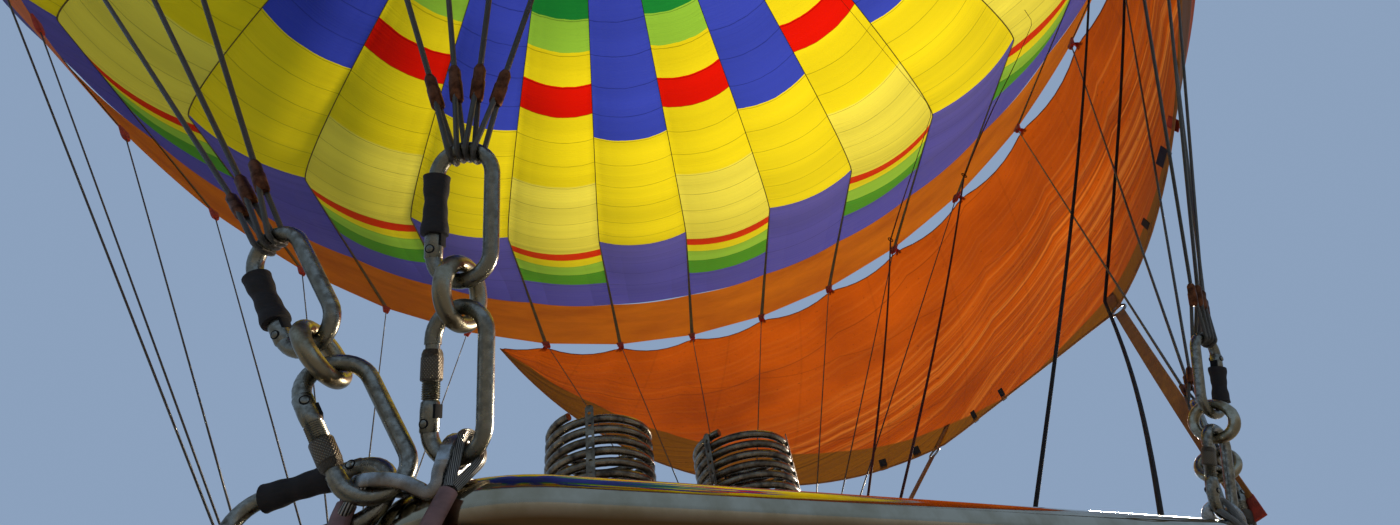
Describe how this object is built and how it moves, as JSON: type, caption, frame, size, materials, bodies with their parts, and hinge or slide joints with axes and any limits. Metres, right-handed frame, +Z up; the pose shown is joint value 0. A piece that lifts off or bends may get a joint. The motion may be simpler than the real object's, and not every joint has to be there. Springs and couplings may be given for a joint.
{
  "type": "hot air balloon",
  "caption": "Hot air balloon with a striped gored envelope, mouth scoop, parachute valve, wire and karabiner rigging, gimballed double burner and wicker basket.",
  "frame": {"origin": "on the envelope's axis at its widest section, where the air's lift acts", "axes": "+Z up along the envelope's axis, +X along the front tube of the load frame towards the scoop, +Y to the back"},
  "size_m": [20.499, 20.499, 24.6449],
  "materials": {
    "envelope_nylon": "woven ripstop nylon, coated",
    "heat_proof_band": "woven heat-proof fabric",
    "valve_nylon": "woven ripstop nylon",
    "webbing": "woven polyester webbing",
    "scoop_fabric": "woven nylon",
    "stainless_steel": "polished",
    "coil_steel": "heat stained",
    "burner_alloy": "machined",
    "plated_steel": "zinc plated, dull",
    "wire_rope": "stranded",
    "leather": "suede",
    "wicker": "woven willow cane",
    "plywood": "varnished",
    "cylinder_cover": "padded cover"
  },
  "bodies": {
    "balloon": {"envelope_back": "envelope_nylon", "envelope_right": "envelope_nylon", "envelope_front": "envelope_nylon", "envelope_left": "envelope_nylon", "mouth_band": "heat_proof_band", "crown_tapes": "webbing", "scoop": "scoop_fabric", "load_frame": "stainless_steel", "basket_walls": "wicker", "basket_rim": "leather", "basket_floor": "plywood", "basket_runners": "plywood", "handling_karabiner": "plated_steel", "wire_fan_back_left_end": "wire_rope", "karabiner_upper_back_left_end": "plated_steel", "karabiner_lower_back_left_end": "plated_steel", "ring_back_left_end": "plated_steel", "wire_fan_back_left_side": "wire_rope", "karabiner_upper_back_left_side": "plated_steel", "karabiner_lower_back_left_side": "plated_steel", "ring_back_left_side": "plated_steel", "wire_fan_back_right_end": "wire_rope", "karabiner_upper_back_right_end": "plated_steel", "karabiner_lower_back_right_end": "plated_steel", "ring_back_right_end": "plated_steel", "wire_fan_back_right_side": "wire_rope", "karabiner_upper_back_right_side": "plated_steel", "karabiner_lower_back_right_side": "plated_steel", "ring_back_right_side": "plated_steel", "wire_fan_front_right_end": "wire_rope", "karabiner_upper_front_right_end": "plated_steel", "karabiner_lower_front_right_end": "plated_steel", "ring_front_right_end": "plated_steel", "wire_fan_front_right_side": "wire_rope", "karabiner_upper_front_right_side": "plated_steel", "karabiner_lower_front_right_side": "plated_steel", "ring_front_right_side": "plated_steel", "wire_fan_front_left_end": "wire_rope", "karabiner_upper_front_left_end": "plated_steel", "karabiner_lower_front_left_end": "plated_steel", "ring_front_left_end": "plated_steel", "wire_fan_front_left_side": "wire_rope", "karabiner_upper_front_left_side": "plated_steel", "karabiner_lower_front_left_side": "plated_steel", "ring_front_left_side": "plated_steel", "upright_front_left": "leather", "fuel_cylinder_front_left": "cylinder_cover", "upright_front_right": "leather", "fuel_cylinder_front_right": "cylinder_cover", "upright_back_right": "leather", "fuel_cylinder_back_right": "cylinder_cover", "upright_back_left": "leather", "fuel_cylinder_back_left": "cylinder_cover"},
    "valve": {"parachute_valve": "valve_nylon"},
    "gimbal": {"gimbal_frame": "stainless_steel"},
    "burners": {"burner_block": "burner_alloy", "burner_can_left": "stainless_steel", "burner_can_right": "stainless_steel", "burner_coil_left": "coil_steel", "burner_coil_right": "coil_steel"}
  },
  "joints": [
    {"name": "valve_vent", "type": "slide", "parent": "balloon", "child": "valve", "axis": [0, 0, -1], "range_m": [0, 1.2], "stiffness_N_per_m": 60, "springref_m": -2.2},
    {"name": "burner_roll", "type": "hinge", "parent": "balloon", "child": "gimbal", "pos_m": [0, 0, -14.2285], "axis": [1, 0, 0], "range_deg": [-15, 15]},
    {"name": "burner_pitch", "type": "hinge", "parent": "gimbal", "child": "burners", "pos_m": [0, 0, -14.2285], "axis": [0, 1, 0], "range_deg": [-15, 15]}
  ]
}
